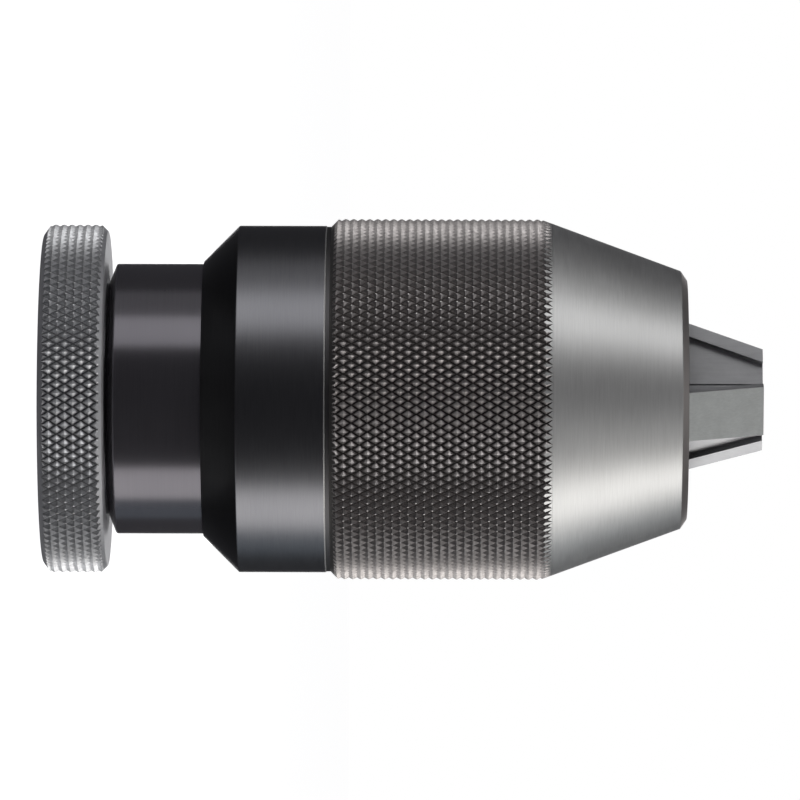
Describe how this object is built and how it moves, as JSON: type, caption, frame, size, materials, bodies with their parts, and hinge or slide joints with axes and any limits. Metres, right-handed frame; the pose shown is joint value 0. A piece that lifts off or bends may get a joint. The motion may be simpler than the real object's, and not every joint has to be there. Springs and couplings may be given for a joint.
{
  "type": "drill chuck",
  "caption": "Keyless self-tightening drill chuck: knurled sleeve and ring, conical hood, sliding T-section jaws, tapered rear socket.",
  "frame": {"origin": "centre of the body's rear face, in the plane that the chuck stands on", "axes": "+Z along the chuck's axis from the rear face to the jaw tips; jaw 1 is 13.5 degrees from -Y, towards +X"},
  "size_m": [0.05, 0.05, 0.0997],
  "materials": {
    "black_oxide": "glossy black oxide on turned steel",
    "bright_steel": "bright knurled steel",
    "blued_steel": "satin gun-blue steel, brushed round, with a brownish diamond knurl",
    "satin_steel": "satin turned steel",
    "guide_steel": "milled steel, oiled",
    "spindle_steel": "hardened ground steel",
    "jaw_steel": "ground hardened steel",
    "race_steel": "ground bearing steel",
    "ball_steel": "polished bearing steel"
  },
  "bodies": {
    "body": {"chuck_body": "black_oxide", "holding_ring": "bright_steel", "front_race": "race_steel"},
    "sleeve": {"knurled_sleeve": "blued_steel", "nose_hood": "satin_steel", "jaw_guide": "guide_steel", "rear_race": "race_steel"},
    "spindle": {"feed_spindle": "spindle_steel"},
    "jaw_1": {"jaw_1": "jaw_steel"},
    "jaw_2": {"jaw_2": "jaw_steel"},
    "jaw_3": {"jaw_3": "jaw_steel"},
    "balls": {"bearing_ball_01": "ball_steel", "bearing_ball_02": "ball_steel", "bearing_ball_03": "ball_steel", "bearing_ball_04": "ball_steel", "bearing_ball_05": "ball_steel", "bearing_ball_06": "ball_steel", "bearing_ball_07": "ball_steel", "bearing_ball_08": "ball_steel", "bearing_ball_09": "ball_steel", "bearing_ball_10": "ball_steel", "bearing_ball_11": "ball_steel", "bearing_ball_12": "ball_steel", "bearing_ball_13": "ball_steel", "bearing_ball_14": "ball_steel", "bearing_ball_15": "ball_steel", "bearing_ball_16": "ball_steel", "bearing_ball_17": "ball_steel", "bearing_ball_18": "ball_steel", "bearing_ball_19": "ball_steel", "bearing_ball_20": "ball_steel", "bearing_ball_21": "ball_steel", "bearing_ball_22": "ball_steel", "bearing_ball_23": "ball_steel", "bearing_ball_24": "ball_steel", "bearing_ball_25": "ball_steel", "bearing_ball_26": "ball_steel", "bearing_ball_27": "ball_steel", "bearing_ball_28": "ball_steel"}
  },
  "joints": [
    {"name": "sleeve_turn", "type": "hinge", "parent": "body", "child": "sleeve", "pos_m": [0, 0, 0.05], "axis": [0, 0, 1], "range_deg": [0, 1800]},
    {"name": "spindle_feed", "type": "slide", "parent": "sleeve", "child": "spindle", "axis": [0, 0, -1], "range_m": [0, 0.01752]},
    {"name": "ball_orbit", "type": "hinge", "parent": "body", "child": "balls", "pos_m": [0, 0, 0.0326], "axis": [0, 0, 1], "range_deg": [0, 901]},
    {"name": "jaw_1_slide", "type": "slide", "parent": "sleeve", "child": "jaw_1", "axis": [0.0798, -0.3326, -0.9397], "range_m": [0, 0.01865]},
    {"name": "jaw_2_slide", "type": "slide", "parent": "sleeve", "child": "jaw_2", "axis": [0.2481, 0.2354, -0.9397], "range_m": [0, 0.01865]},
    {"name": "jaw_3_slide", "type": "slide", "parent": "sleeve", "child": "jaw_3", "axis": [-0.3279, 0.0971, -0.9397], "range_m": [0, 0.01865]}
  ],
  "couplings": [
    {"joint": "spindle_feed", "follows": "sleeve_turn", "m_per_rad": 0.00055704},
    {"joint": "ball_orbit", "follows": "sleeve_turn", "ratio": 0.5},
    {"joint": "jaw_1_slide", "follows": "sleeve_turn", "m_per_rad": 0.00059279},
    {"joint": "jaw_2_slide", "follows": "sleeve_turn", "m_per_rad": 0.00059279},
    {"joint": "jaw_3_slide", "follows": "sleeve_turn", "m_per_rad": 0.00059279}
  ]
}
